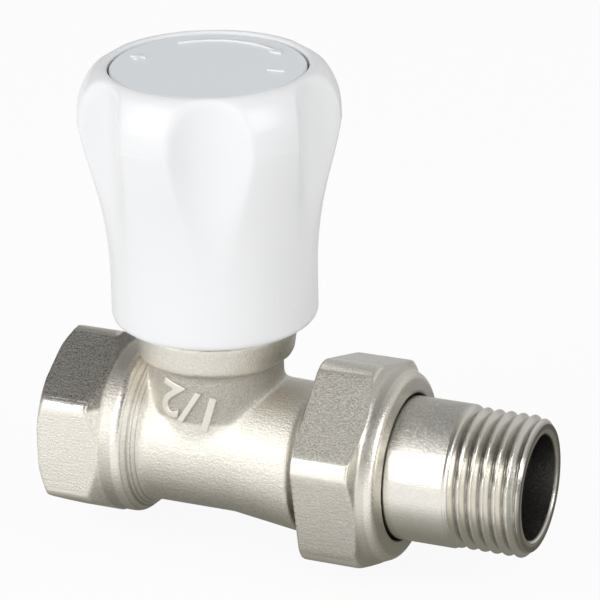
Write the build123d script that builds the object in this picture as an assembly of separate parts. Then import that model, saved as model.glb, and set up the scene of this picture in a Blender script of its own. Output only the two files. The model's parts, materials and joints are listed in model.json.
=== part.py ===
from build123d import *
import math
import os

# Straight radiator valve. Millimetres, +Z up along the stem, +X along the pipe towards the radiator.
# Every piece is drawn with the crossing of the pipe and stem axes at zero. On export it moves along X,
# so that the origin lies on the pipe axis where the full thread of the inlet begins.

# Clearances
FIT = 0.05
FACE_GAP = 0.1
THREAD_FIT = 0.06
BONNET_CLEARANCE = 0.4
STEM_THREAD_CLEARANCE = 0.3
SCREW_END_CLEARANCE = 1.0
OVERCUT = 1.0

# Inlet end: hexagon with a female pipe thread
INLET_REACH = 24.05
INLET_CHAMFER = 1.0
INLET_THREAD_R = 9.32
INLET_THREAD_LENGTH = 12.0
HEX_ACROSS_FLATS = 26.0
HEX_CORNER_R = 1.6
HEX_TURN = 30.0
HEX_FACE_R = 13.0
HEX_FACE_CHAMFER = 1.4
HEX_LENGTH = 9.9
COLLAR_R = 12.95
COLLAR_LENGTH = 3.2
COLLAR_EDGE_R = 1.1
TAPER_LENGTH = 2.6
TAPER_FOOT_R = 1.6

# Body: pipe, belly towards the outlet, seat and partition inside
BODY_R = 10.6
PASSAGE_R = 7.9
BELLY_START = 4.55
BELLY_END = 15.65
BELLY_R = 11.2
BELLY_DROP = 0.95
BELLY_EDGE_R = 0.5
RELIEF_R = 10.0
RELIEF_LENGTH = 1.5
SEAT_TOP = -0.4
SEAT_LIP = 0.6
SEAT_LIP_WIDTH = 0.9
SEAT_PLATE = 2.0
PORT_R = 4.5
WALL = 1.8
WALL_OFFSET = 7.2

# Outlet end of the body
UNION_THREAD_R = 13.15
UNION_THREAD_LENGTH = 8.0
UNION_THREAD_CHAMFER = 0.8
SOCKET_R = 10.0
SOCKET_DEPTH = 4.0

# Neck
NECK_R = 9.95
NECK_TOP = 19.4
BAND_HEIGHT = 4.6
BAND_FOOT_R = 11.6
BAND_R = 12.3
BAND_EDGE_R = 0.25
UNDERCUT_HEIGHT = 0.9
UNDERCUT_R = 0.8
NECK_CHAMBER_R = 7.0
NECK_THREAD_R = 8.3
NECK_THREAD_RUN_OUT = 0.6
SEAL_SEAT_DEPTH = 1.5
SEAL_SEAT_R = 9.7
SEAL_WIRE_R = 0.65

# Stem travel
STEM_LEAD = 1.5
CLOSING_TURNS = 2.25
LIFT = STEM_LEAD * CLOSING_TURNS
CLOSED_GAP = 0.05

# Disc and its holder
SEAT_WASHER_R = 5.7
SEAT_WASHER_THICKNESS = 2.0
WASHER_PROUD = 0.4
HOLDER_R = 6.2
HOLDER_WEB = 3.0
HOLDER_SOCKET_DEPTH = 3.2
WASHER_SCREW_R = 1.5
WASHER_SCREW_HEAD_R = 2.6
WASHER_SCREW_HEAD = 1.1
WASHER_SCREW_BITE = 2.4

# Stem
SPIGOT_R = 3.0
CLIP_WIRE = 0.7
CLIP_DEPTH = 0.6
CLIP_REACH = 0.8
CLIP_OPENING = 70.0
STEM_R = 4.5
STEM_THREAD_R = 5.0
STEM_THREAD_LENGTH = 4.6
STEM_SHOULDER_GAP = 1.0
SQUARE = 6.3
SQUARE_LENGTH = 9.6
O_RING_WIRE_R = 0.58
O_RING_GROOVE = 1.5
O_RING_SPACING = 2.2
O_RING_MARGIN = 1.0

# Bonnet and gland
BONNET_LAND = 7.4
BONNET_ACROSS_FLATS = 20.0
BONNET_HEX = 5.0
BONNET_BARREL_R = 8.0
PACKING_R = 6.4
PACKING_HEIGHT = 2.4
PACKING_WASHER = 0.8
GLAND_SHANK = 2.2
GLAND_ACROSS_FLATS = 14.0
GLAND_HEX = 3.4

# Handwheel
WHEEL_GAP = 0.75
WHEEL_HEIGHT = 38.6
WHEEL_FOOT_R = 15.2
WHEEL_FOOT_EDGE_R = 1.1
WHEEL_STRAIGHT = 7.0
WHEEL_WAIST_R = 16.5
WHEEL_WAIST_DROP = 19.35
WHEEL_WIDEST_R = 19.05
WHEEL_WIDEST_DROP = 8.15
WHEEL_WIDEST_LEAN = 0.16
WHEEL_SHOULDER_R = 18.5
WHEEL_SHOULDER_DROP = 3.75
WHEEL_SHOULDER_LEAN = -0.02
WHEEL_RIM_R = 15.1
WHEEL_RIM_SLOPE = 0.05
WHEEL_INSIDE_R = 13.3
CAP_RECESS = 5.15
WEB = 2.6
HUB_R = 7.2
RIB = 1.6
RIB_HEIGHT = 7.5
RIB_SINK = 0.5
RIB_COUNT = 6
FLUTE_COUNT = 6
FLUTE_R = 8.5
FLUTE_FLOOR_R = 15.9
FLUTE_TURN = -66.0
CAP_R = 14.2
CAP_GROOVE = 0.32
CAP_PLATE = 1.6
CAP_SKIRT = 1.6
CAP_SKIRT_INSET = 1.0
CAP_EDGE = 0.3
WHEEL_SCREW_R = 2.0
WHEEL_SCREW_HEAD_R = 3.6
WHEEL_SCREW_HEAD = 2.4
WHEEL_SCREW_BITE = 7.4
WHEEL_SCREW_SLOT = 1.0

# Union nut
NUT_LENGTH = 12.3
NUT_ACROSS_FLATS = 29.8
NUT_CORNER_R = 4.6
NUT_TURN = 42.0
NUT_FLANGE = 3.05
NUT_HOLE_R = 10.85
NUT_FACE_R = 13.7
NUT_DOME = 0.4
NUT_FACE_EDGE_R = 1.2
NUT_CORNER_CUT = 1.2
NUT_NOSE_LENGTH = 2.3
NUT_NOSE_R = 14.7
NUT_BACK_CHAMFER = 0.7

# Tailpiece
TAIL_PROUD = 20.2
TAIL_R = 10.6
TAIL_BORE_R = 7.75
TAIL_THREAD_R = 10.38
TAIL_THREAD_TURNS = 6
TAIL_THREAD_PITCH = 1.814
TAIL_THREAD_DEPTH = 1.0
TAIL_THREAD_CREST = 0.3
TAIL_END_R = 9.4
TAIL_END_CHAMFER = 1.0
TAIL_COLLAR_R = 11.9
TAIL_COLLAR_LENGTH = 2.0
TAIL_NOSE_LENGTH = 3.5
TAIL_RING_GROOVE = 1.8
TAIL_RING_WIRE_R = 0.65

# Places worked out from the sizes above
INLET_FACE = -INLET_REACH
HEX_END = INLET_FACE + HEX_LENGTH
COLLAR_END = HEX_END + COLLAR_LENGTH
TAPER_END = COLLAR_END + TAPER_LENGTH
INLET_THREAD_END = INLET_FACE + INLET_CHAMFER + INLET_THREAD_LENGTH
UNION_THREAD_START = BELLY_END + RELIEF_LENGTH
BODY_END = UNION_THREAD_START + UNION_THREAD_LENGTH
SOCKET_FLOOR = BODY_END - SOCKET_DEPTH
PLATE_TOP = SEAT_TOP - SEAT_LIP
PLATE_BOTTOM = PLATE_TOP - SEAT_PLATE
BAND_FOOT = NECK_TOP - BAND_HEIGHT
WASHER_BOTTOM = SEAT_TOP + CLOSED_GAP + LIFT
WASHER_TOP = WASHER_BOTTOM + SEAT_WASHER_THICKNESS
HOLDER_BOTTOM = WASHER_BOTTOM + WASHER_PROUD
HOLDER_SOCKET_FLOOR = WASHER_TOP + HOLDER_WEB
HOLDER_TOP = HOLDER_SOCKET_FLOOR + HOLDER_SOCKET_DEPTH
BONNET_FOOT = HOLDER_TOP + BONNET_CLEARANCE
NECK_THREAD_START = BONNET_FOOT - NECK_THREAD_RUN_OUT
STEM_THREAD_START = HOLDER_TOP + STEM_SHOULDER_GAP
STEM_THREAD_END = STEM_THREAD_START + STEM_THREAD_LENGTH
BONNET_LAND_START = STEM_THREAD_END + STEM_THREAD_CLEARANCE
PACKING_FLOOR = BONNET_LAND_START + BONNET_LAND
WASHER_FLOOR = PACKING_FLOOR + PACKING_HEIGHT
GLAND_FLOOR = WASHER_FLOOR + PACKING_WASHER
BONNET_TOP = GLAND_FLOOR + GLAND_SHANK
GLAND_TOP = BONNET_TOP + GLAND_HEX
UPPER_RING = PACKING_FLOOR - O_RING_MARGIN
LOWER_RING = UPPER_RING - O_RING_SPACING
WHEEL_FOOT = NECK_TOP + WHEEL_GAP
WHEEL_TOP = WHEEL_FOOT + WHEEL_HEIGHT
WHEEL_WAIST = WHEEL_TOP - WHEEL_WAIST_DROP
WHEEL_WIDEST = WHEEL_TOP - WHEEL_WIDEST_DROP
WHEEL_SHOULDER = WHEEL_TOP - WHEEL_SHOULDER_DROP
WEB_TOP = WHEEL_TOP - CAP_RECESS
WEB_BOTTOM = WEB_TOP - WEB
SQUARE_TOP = WEB_BOTTOM - FACE_GAP
SQUARE_START = SQUARE_TOP - SQUARE_LENGTH
HUB_FOOT = SQUARE_START + FIT
CAP_TOP = WHEEL_TOP - CAP_EDGE
TAIL_COLLAR_BACK = BODY_END + FACE_GAP
TAIL_COLLAR_FACE = TAIL_COLLAR_BACK + TAIL_COLLAR_LENGTH
NUT_SHOULDER = TAIL_COLLAR_FACE + FIT
NUT_FACE = NUT_SHOULDER + NUT_FLANGE
NUT_BACK = NUT_FACE - NUT_LENGTH
TAIL_END = NUT_FACE + TAIL_PROUD
TAIL_NOSE = TAIL_COLLAR_BACK - TAIL_NOSE_LENGTH
TAIL_LAST_CREST = TAIL_END - TAIL_END_CHAMFER - TAIL_THREAD_CREST / 2
TAIL_THREAD_START = TAIL_LAST_CREST - (TAIL_THREAD_TURNS - 1) * TAIL_THREAD_PITCH
ORIGIN_SHIFT = INLET_REACH - INLET_CHAMFER


def turned_x(points):
    """Solid of revolution about the pipe axis from (station, radius) points."""
    return revolve(Plane.XZ * make_face(Polyline(*points, close=True)), Axis.X)


def turned_z(points):
    """Solid of revolution about the stem axis from (radius, height) points."""
    return revolve(Plane.XZ * make_face(Polyline(*points, close=True)), Axis.Z)


def tube_x(start, end, radius):
    return Plane.YZ.offset(start) * extrude(Circle(radius), end - start)


def tube_z(bottom, top, radius):
    return Pos(0, 0, bottom) * extrude(Circle(radius), top - bottom)


def hexagon(across_flats, turn, corner_r=0):
    outline = RegularPolygon(across_flats / 2, 6, major_radius=False, rotation=turn)
    if corner_r:
        outline = fillet(outline.vertices(), corner_r)
    return outline


def corner_reach(across_flats):
    return across_flats / 2 / math.cos(math.radians(30))


def hex_prism_z(across_flats, bottom, top):
    return Pos(0, 0, bottom) * extrude(hexagon(across_flats, 0), top - bottom)


def ring(wire_r, inner_r, height):
    return Pos(0, 0, height) * Torus(inner_r + wire_r, wire_r)


def save(name, shape):
    export_step(Pos(ORIGIN_SHIFT, 0, 0) * shape, f"parts/{name}.step")


def inlet_hexagon():
    """Hexagon with a point at the top, its corners turned back to a cone at both ends."""
    outline = hexagon(HEX_ACROSS_FLATS, HEX_TURN, HEX_CORNER_R)
    prism = Plane.YZ.offset(INLET_FACE) * extrude(outline, HEX_LENGTH)
    reach = corner_reach(HEX_ACROSS_FLATS)
    cone = turned_x([
        (INLET_FACE, 0),
        (INLET_FACE, HEX_FACE_R),
        (INLET_FACE + HEX_FACE_CHAMFER, reach),
        (HEX_END - (reach - COLLAR_R), reach),
        (HEX_END, COLLAR_R),
        (HEX_END, 0),
    ])
    return prism & cone


def collar():
    """Round collar behind the hexagon, with a rounded edge and a hollow foot down to the pipe."""
    outline = make_face(Polyline(
        (HEX_END - FIT, 0),
        (HEX_END - FIT, COLLAR_R),
        (COLLAR_END, COLLAR_R),
        (TAPER_END, BODY_R),
        (BELLY_START, BODY_R),
        (BELLY_START, 0),
        close=True,
    ))
    edge = outline.vertices().sort_by_distance((COLLAR_END, COLLAR_R))[0]
    outline = fillet(edge, COLLAR_EDGE_R)
    foot = outline.vertices().sort_by_distance((TAPER_END, BODY_R))[0]
    outline = fillet(foot, TAPER_FOOT_R)
    return revolve(Plane.XZ * outline, Axis.X)


def belly():
    """Pipe between the neck and the outlet, which swells downwards."""
    narrow = Plane.YZ.offset(BELLY_START) * Circle(BODY_R)
    wide = Plane.YZ.offset(BELLY_END) * Pos(0, -BELLY_DROP) * Circle(BELLY_R)
    swell = loft([narrow, wide])
    rim = swell.edges().filter_by(GeomType.CIRCLE).sort_by(Axis.X)[-1]
    return fillet(rim, BELLY_EDGE_R)


def neck():
    """Round neck with an overhanging band, hollowed under its edge."""
    outline = make_face(Polyline(
        (0, 0),
        (NECK_R, 0),
        (NECK_R, BAND_FOOT - UNDERCUT_HEIGHT),
        (BAND_FOOT_R, BAND_FOOT),
        (BAND_R, NECK_TOP),
        (0, NECK_TOP),
        close=True,
    ))
    hollow = outline.vertices().sort_by_distance((NECK_R, BAND_FOOT - UNDERCUT_HEIGHT))[0]
    outline = fillet(hollow, UNDERCUT_R)
    edge = outline.vertices().sort_by_distance((BAND_FOOT_R, BAND_FOOT))[0]
    outline = fillet(edge, BAND_EDGE_R)
    return revolve(Plane.XZ * outline, Axis.Z)


def union_thread():
    return turned_x([
        (BELLY_END - RELIEF_LENGTH, 0),
        (BELLY_END - RELIEF_LENGTH, RELIEF_R),
        (UNION_THREAD_START, RELIEF_R),
        (UNION_THREAD_START, UNION_THREAD_R),
        (BODY_END - UNION_THREAD_CHAMFER, UNION_THREAD_R),
        (BODY_END, UNION_THREAD_R - UNION_THREAD_CHAMFER),
        (BODY_END, 0),
    ])


def body_hollow():
    """Inlet thread, passage and tail socket, all on the pipe axis."""
    return turned_x([
        (INLET_FACE, 0),
        (INLET_FACE, INLET_THREAD_R + INLET_CHAMFER),
        (INLET_FACE + INLET_CHAMFER, INLET_THREAD_R),
        (INLET_THREAD_END, INLET_THREAD_R),
        (INLET_THREAD_END, PASSAGE_R),
        (SOCKET_FLOOR, PASSAGE_R),
        (SOCKET_FLOOR, SOCKET_R),
        (BODY_END, SOCKET_R),
        (BODY_END, 0),
    ])


def partition():
    """Seat plate with a wall above it on the inlet side and one below it on the outlet side."""
    half = WALL_OFFSET + WALL
    span = 2 * PASSAGE_R
    plate = Pos(0, 0, PLATE_BOTTOM + SEAT_PLATE / 2) * Box(2 * half, span, SEAT_PLATE)
    wall_x = WALL_OFFSET + WALL / 2
    upper = Pos(-wall_x, 0, (PASSAGE_R + PLATE_BOTTOM) / 2) * Box(WALL, span, PASSAGE_R - PLATE_BOTTOM)
    lower = Pos(wall_x, 0, (PLATE_TOP - PASSAGE_R) / 2) * Box(WALL, span, PASSAGE_R + PLATE_TOP)
    lip = tube_z(PLATE_TOP, SEAT_TOP, PORT_R + SEAT_LIP_WIDTH)
    inside = tube_x(-half, half, PASSAGE_R)
    port = tube_z(PLATE_BOTTOM - OVERCUT, SEAT_TOP + OVERCUT, PORT_R)
    return ((plate + upper + lower) & inside) + lip - port


def neck_hollow():
    return turned_z([
        (0, PLATE_TOP),
        (NECK_CHAMBER_R, PLATE_TOP),
        (NECK_CHAMBER_R, NECK_THREAD_START),
        (NECK_THREAD_R, NECK_THREAD_START),
        (NECK_THREAD_R, NECK_TOP - SEAL_SEAT_DEPTH),
        (SEAL_SEAT_R, NECK_TOP - SEAL_SEAT_DEPTH),
        (SEAL_SEAT_R, NECK_TOP),
        (0, NECK_TOP),
    ])


def valve_body():
    outside = inlet_hexagon() + collar() + belly() + union_thread() + neck()
    return outside - body_hollow() - neck_hollow() + partition()


def bonnet():
    shank_r = NECK_THREAD_R - FIT
    inside = turned_z([
        (0, BONNET_FOOT),
        (STEM_THREAD_R + FIT, BONNET_FOOT),
        (STEM_THREAD_R + FIT, BONNET_LAND_START),
        (STEM_R + FIT, BONNET_LAND_START),
        (STEM_R + FIT, PACKING_FLOOR),
        (PACKING_R, PACKING_FLOOR),
        (PACKING_R, BONNET_TOP),
        (0, BONNET_TOP),
    ])
    barrel = tube_z(BONNET_FOOT, NECK_TOP, shank_r) + tube_z(NECK_TOP, BONNET_TOP, BONNET_BARREL_R)
    return barrel + hex_prism_z(BONNET_ACROSS_FLATS, NECK_TOP, NECK_TOP + BONNET_HEX) - inside


def sleeve(bottom, top, inner_r, outer_r):
    return tube_z(bottom, top, outer_r) - tube_z(bottom, top, inner_r)


def gland_nut():
    shank = tube_z(GLAND_FLOOR, BONNET_TOP, PACKING_R - FIT)
    head = hex_prism_z(GLAND_ACROSS_FLATS, BONNET_TOP, GLAND_TOP)
    return shank + head - tube_z(GLAND_FLOOR, GLAND_TOP, STEM_R + FIT)


def clip_height():
    return HOLDER_SOCKET_FLOOR + HOLDER_SOCKET_DEPTH / 2


def stem():
    clip = clip_height()
    ring_floor = STEM_R - 2 * O_RING_WIRE_R - FIT
    points = [
        (0, HOLDER_SOCKET_FLOOR + FIT),
        (SPIGOT_R, HOLDER_SOCKET_FLOOR + FIT),
        (SPIGOT_R, clip - CLIP_WIRE / 2 - FIT),
        (SPIGOT_R - CLIP_DEPTH, clip - CLIP_WIRE / 2 - FIT),
        (SPIGOT_R - CLIP_DEPTH, clip + CLIP_WIRE / 2 + FIT),
        (SPIGOT_R, clip + CLIP_WIRE / 2 + FIT),
        (SPIGOT_R, STEM_THREAD_START),
        (STEM_THREAD_R, STEM_THREAD_START),
        (STEM_THREAD_R, STEM_THREAD_END),
        (STEM_R, STEM_THREAD_END),
    ]
    for height in (LOWER_RING, UPPER_RING):
        points += [
            (STEM_R, height - O_RING_GROOVE / 2),
            (ring_floor, height - O_RING_GROOVE / 2),
            (ring_floor, height + O_RING_GROOVE / 2),
            (STEM_R, height + O_RING_GROOVE / 2),
        ]
    points += [(STEM_R, SQUARE_START), (0, SQUARE_START)]
    square = Pos(0, 0, SQUARE_START) * extrude(Rectangle(SQUARE, SQUARE), SQUARE_LENGTH)
    tapped_floor = WEB_BOTTOM - WHEEL_SCREW_BITE - SCREW_END_CLEARANCE
    tapped = tube_z(tapped_floor, SQUARE_TOP, WHEEL_SCREW_R + FIT)
    return turned_z(points) + square - tapped


def stem_o_ring(height):
    return ring(O_RING_WIRE_R, STEM_R - 2 * O_RING_WIRE_R - FIT / 2, height)


def stem_clip():
    """Open ring, half in the stem's groove and half in the holder's."""
    height = clip_height()
    inner_r = SPIGOT_R - CLIP_DEPTH + FIT
    outer_r = SPIGOT_R + CLIP_REACH - FIT
    section = Pos((inner_r + outer_r) / 2, height) * Rectangle(outer_r - inner_r, CLIP_WIRE)
    return revolve(Plane.XZ * section, Axis.Z, 360 - CLIP_OPENING)


def disc_holder():
    clip = clip_height()
    inside_r = SPIGOT_R + FIT
    return turned_z([
        (WASHER_SCREW_R + FIT, WASHER_TOP),
        (SEAT_WASHER_R + FIT, WASHER_TOP),
        (SEAT_WASHER_R + FIT, HOLDER_BOTTOM),
        (HOLDER_R, HOLDER_BOTTOM),
        (HOLDER_R, HOLDER_TOP),
        (inside_r, HOLDER_TOP),
        (inside_r, clip + CLIP_WIRE / 2 + FIT),
        (SPIGOT_R + CLIP_REACH, clip + CLIP_WIRE / 2 + FIT),
        (SPIGOT_R + CLIP_REACH, clip - CLIP_WIRE / 2 - FIT),
        (inside_r, clip - CLIP_WIRE / 2 - FIT),
        (inside_r, HOLDER_SOCKET_FLOOR),
        (WASHER_SCREW_R + FIT, HOLDER_SOCKET_FLOOR),
    ])


def washer_screw():
    head = tube_z(WASHER_BOTTOM - WASHER_SCREW_HEAD, WASHER_BOTTOM, WASHER_SCREW_HEAD_R)
    return head + tube_z(WASHER_BOTTOM, WASHER_TOP + WASHER_SCREW_BITE, WASHER_SCREW_R)


def wheel_outline():
    """Half section of the wheel's outside: straight foot, waist, widest line, round shoulder."""
    widest = (WHEEL_WIDEST_R, WHEEL_WIDEST)
    foot_end = (WHEEL_FOOT_R, WHEEL_FOOT + WHEEL_STRAIGHT)
    waist = Spline(
        foot_end,
        (WHEEL_WAIST_R, WHEEL_WAIST),
        widest,
        tangents=[(0, 1), (WHEEL_WIDEST_LEAN, 1)],
    )
    shoulder = Spline(
        widest,
        (WHEEL_SHOULDER_R, WHEEL_SHOULDER),
        (WHEEL_RIM_R, WHEEL_TOP),
        tangents=[(WHEEL_SHOULDER_LEAN, 1), (-1, WHEEL_RIM_SLOPE)],
    )
    edge_start = (WHEEL_FOOT_R - WHEEL_FOOT_EDGE_R, WHEEL_FOOT)
    edge_end = (WHEEL_FOOT_R, WHEEL_FOOT + WHEEL_FOOT_EDGE_R)
    edge = RadiusArc(edge_start, edge_end, -WHEEL_FOOT_EDGE_R)
    closing = Polyline((WHEEL_RIM_R, WHEEL_TOP), (0, WHEEL_TOP), (0, WHEEL_FOOT), edge_start)
    return make_face([edge, Line(edge_end, foot_end), waist, shoulder, closing])


def fluted_outside():
    outside = revolve(Plane.XZ * wheel_outline(), Axis.Z)
    cutter = Pos(FLUTE_FLOOR_R + FLUTE_R, 0, 0) * tube_z(WHEEL_FOOT, WHEEL_TOP + OVERCUT, FLUTE_R)
    for index in range(FLUTE_COUNT):
        outside -= Rot(0, 0, FLUTE_TURN + index * 360 / FLUTE_COUNT) * cutter
    return outside


def wheel_ribs():
    length = WHEEL_INSIDE_R - HUB_R + 2 * RIB_SINK
    place = Pos((WHEEL_INSIDE_R + HUB_R) / 2, 0, WEB_BOTTOM - RIB_HEIGHT / 2)
    rib = place * Box(length, RIB, RIB_HEIGHT)
    return [Rot(0, 0, FLUTE_TURN + index * 360 / RIB_COUNT) * rib for index in range(RIB_COUNT)]


def handwheel():
    wheel = fluted_outside()
    wheel -= tube_z(WHEEL_FOOT, WEB_BOTTOM, WHEEL_INSIDE_R)
    wheel -= tube_z(WEB_TOP, WHEEL_TOP, CAP_R + CAP_GROOVE)
    wheel += tube_z(HUB_FOOT, WEB_BOTTOM, HUB_R)
    for rib in wheel_ribs():
        wheel += rib
    across = SQUARE + 2 * FIT
    socket = Pos(0, 0, HUB_FOOT) * extrude(Rectangle(across, across), WEB_BOTTOM - HUB_FOOT)
    return wheel - socket - tube_z(WEB_BOTTOM, WEB_TOP, WHEEL_SCREW_R + FIT)


def handwheel_cap():
    plate_bottom = CAP_TOP - CAP_PLATE
    skirt_r = CAP_R - CAP_SKIRT_INSET
    return turned_z([
        (0, plate_bottom),
        (skirt_r - CAP_SKIRT, plate_bottom),
        (skirt_r - CAP_SKIRT, WEB_TOP),
        (skirt_r, WEB_TOP),
        (skirt_r, plate_bottom),
        (CAP_R, plate_bottom),
        (CAP_R, CAP_TOP - CAP_EDGE),
        (CAP_R - CAP_EDGE, CAP_TOP),
        (0, CAP_TOP),
    ])


def handwheel_screw():
    head = tube_z(WEB_TOP, WEB_TOP + WHEEL_SCREW_HEAD, WHEEL_SCREW_HEAD_R)
    slot_depth = WHEEL_SCREW_HEAD / 2
    slot = Pos(0, 0, WEB_TOP + WHEEL_SCREW_HEAD - slot_depth / 2) * Box(
        2 * WHEEL_SCREW_HEAD_R, WHEEL_SCREW_SLOT, slot_depth
    )
    return head + tube_z(WEB_BOTTOM - WHEEL_SCREW_BITE, WEB_TOP, WHEEL_SCREW_R) - slot


def union_nut():
    """Hexagon nut: corners cut back to a conical nose, flange inside that draws the tailpiece in."""
    outline = hexagon(NUT_ACROSS_FLATS, NUT_TURN, NUT_CORNER_R)
    prism = Plane.YZ.offset(NUT_BACK) * extrude(outline, NUT_LENGTH)
    reach = corner_reach(NUT_ACROSS_FLATS)
    rim = NUT_FACE - NUT_DOME
    nose = rim - NUT_NOSE_LENGTH
    cone = turned_x([
        (NUT_BACK, 0),
        (NUT_BACK, reach - NUT_BACK_CHAMFER),
        (NUT_BACK + NUT_BACK_CHAMFER, reach),
        (nose - NUT_CORNER_CUT, reach),
        (nose, NUT_NOSE_R),
        (rim, NUT_FACE_R),
        (NUT_FACE, NUT_HOLE_R),
        (NUT_FACE, 0),
    ])
    thread = tube_x(NUT_BACK, NUT_SHOULDER, UNION_THREAD_R + THREAD_FIT)
    nut = (prism & cone) - thread - tube_x(NUT_BACK, NUT_FACE, NUT_HOLE_R)
    front = nut.edges().filter_by(GeomType.CIRCLE).filter_by_position(Axis.X, rim, rim)
    return fillet(front.sort_by(SortBy.RADIUS)[-1], NUT_FACE_EDGE_R)


def tail_ring_groove():
    return TAIL_NOSE + TAIL_NOSE_LENGTH / 2


def tail_thread():
    """Section points of the male pipe thread, drawn as turned ridges one pitch apart."""
    half_crest = TAIL_THREAD_CREST / 2
    points = []
    for index in range(TAIL_THREAD_TURNS):
        crest = TAIL_THREAD_START + index * TAIL_THREAD_PITCH
        points += [
            (crest - TAIL_THREAD_PITCH / 2, TAIL_THREAD_R - TAIL_THREAD_DEPTH),
            (crest - half_crest, TAIL_THREAD_R),
            (crest + half_crest, TAIL_THREAD_R),
        ]
    return points


def tailpiece():
    middle = tail_ring_groove()
    nose_r = SOCKET_R - FACE_GAP
    groove_r = nose_r - 2 * TAIL_RING_WIRE_R
    return turned_x([
        (TAIL_NOSE, TAIL_BORE_R),
        (TAIL_NOSE, nose_r),
        (middle - TAIL_RING_GROOVE / 2, nose_r),
        (middle - TAIL_RING_GROOVE / 2, groove_r),
        (middle + TAIL_RING_GROOVE / 2, groove_r),
        (middle + TAIL_RING_GROOVE / 2, nose_r),
        (TAIL_COLLAR_BACK, nose_r),
        (TAIL_COLLAR_BACK, TAIL_COLLAR_R),
        (TAIL_COLLAR_FACE, TAIL_COLLAR_R),
        (TAIL_COLLAR_FACE, TAIL_R),
        (TAIL_THREAD_START - TAIL_THREAD_PITCH, TAIL_R),
        *tail_thread(),
        (TAIL_END, TAIL_END_R),
        (TAIL_END, TAIL_BORE_R),
    ])


def tail_o_ring():
    inner_r = SOCKET_R - FACE_GAP - 2 * TAIL_RING_WIRE_R + FIT / 2
    wire = Torus(inner_r + TAIL_RING_WIRE_R, TAIL_RING_WIRE_R)
    return Pos(tail_ring_groove(), 0, 0) * Rot(0, 90, 0) * wire


os.makedirs("parts", exist_ok=True)

save("valve_body", valve_body())
save("bonnet", bonnet())
save("bonnet_seal", ring(SEAL_WIRE_R, NECK_THREAD_R, NECK_TOP - SEAL_SEAT_DEPTH / 2))
save("stem_packing", sleeve(PACKING_FLOOR, WASHER_FLOOR, STEM_R + FIT, PACKING_R - FIT))
save("packing_washer", sleeve(WASHER_FLOOR, GLAND_FLOOR, STEM_R + FIT, PACKING_R - FIT))
save("gland_nut", gland_nut())
save("stem", stem())
save("stem_o_ring_lower", stem_o_ring(LOWER_RING))
save("stem_o_ring_upper", stem_o_ring(UPPER_RING))
save("stem_clip", stem_clip())
save("disc_holder", disc_holder())
save("seat_washer", sleeve(WASHER_BOTTOM, WASHER_TOP, WASHER_SCREW_R + FIT, SEAT_WASHER_R))
save("washer_screw", washer_screw())
save("handwheel", handwheel())
save("handwheel_cap", handwheel_cap())
save("handwheel_screw", handwheel_screw())
save("union_nut", union_nut())
save("tailpiece", tailpiece())
save("tail_o_ring", tail_o_ring())
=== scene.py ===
"""Straight radiator valve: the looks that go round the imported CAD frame. Lengths are metres."""
import json
import math

import bpy
from mathutils import Matrix, Vector


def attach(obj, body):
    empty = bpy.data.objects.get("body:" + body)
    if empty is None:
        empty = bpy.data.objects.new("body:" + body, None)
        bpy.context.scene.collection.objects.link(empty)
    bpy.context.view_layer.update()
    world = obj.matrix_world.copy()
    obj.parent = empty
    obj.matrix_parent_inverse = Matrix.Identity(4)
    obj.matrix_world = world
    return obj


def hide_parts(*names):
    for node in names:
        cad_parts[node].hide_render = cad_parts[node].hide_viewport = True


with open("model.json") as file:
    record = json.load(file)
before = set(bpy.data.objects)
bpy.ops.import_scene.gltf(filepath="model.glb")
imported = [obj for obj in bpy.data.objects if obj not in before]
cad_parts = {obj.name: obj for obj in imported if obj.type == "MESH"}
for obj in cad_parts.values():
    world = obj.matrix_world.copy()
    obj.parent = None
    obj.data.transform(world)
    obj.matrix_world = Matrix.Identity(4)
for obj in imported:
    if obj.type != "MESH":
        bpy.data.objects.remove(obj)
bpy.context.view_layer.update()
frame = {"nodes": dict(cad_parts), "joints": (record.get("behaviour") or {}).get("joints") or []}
nodes = frame["nodes"]

MM = 0.001

# The stem stands over this place on the pipe axis
STEM_X = next(j for j in frame["joints"] if j["name"] == "handwheel_turn")["pos_m"][0]

# Handwheel, heights above the pipe axis
WHEEL_FOOT = 20.15
WHEEL_TOP = 58.75
WHEEL_FOOT_R = 15.2
WHEEL_INSIDE_R = 13.3
WHEEL_WEB_TOP = 53.6
WHEEL_WEB_BOTTOM = 51.0
WHEEL_HUB_R = 7.2
WHEEL_HUB_FOOT = 41.35
WHEEL_SCREW_HOLE_R = 2.05
WHEEL_SOCKET = 6.4
RIB = 1.6
RIB_HEIGHT = 7.5
RIB_SINK = 0.5
CAP_RECESS_R = 14.52
FLUTE_COUNT = 6
FLUTE_R = 8.5
FLUTE_FLOOR_R = 15.9
FLUTE_TURN = math.radians(-66.0)
FLUTE_SOFTNESS = 1.1

# Tailpiece, stations along the pipe
TAIL_NOSE = 44.8
TAIL_NOSE_R = 9.9
TAIL_GROOVE = (45.65, 47.45)
TAIL_GROOVE_R = 8.6
TAIL_COLLAR = (48.3, 50.3)
TAIL_COLLAR_R = 11.9
TAIL_THREAD_START = 63.38
TAIL_END = 73.6
TAIL_R = 10.6
TAIL_CREST_R = 10.38
TAIL_END_R = 9.35
TAIL_BORE_R = 7.75
THREAD_PITCH = 1.814
THREAD_DEPTH = 1.0
THREAD_SHARP = 0.97
THREAD_RUN_IN = 1.3

# Body: inlet thread, neck and pipe, the soft line where they meet, and how fine and how worn its mesh is
INLET_MINOR_R = 9.32
INLET_MAJOR_R = 10.4
INLET_SLEEVE_R = 10.75
INLET_DEPTH = 12.0
NECK_R = 9.95
PIPE_R = 10.6
SADDLE_REACH = 1.8
SADDLE_ROUNDS = 24
BODY_CELL = 0.36
BODY_ROUNDS = 3

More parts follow.
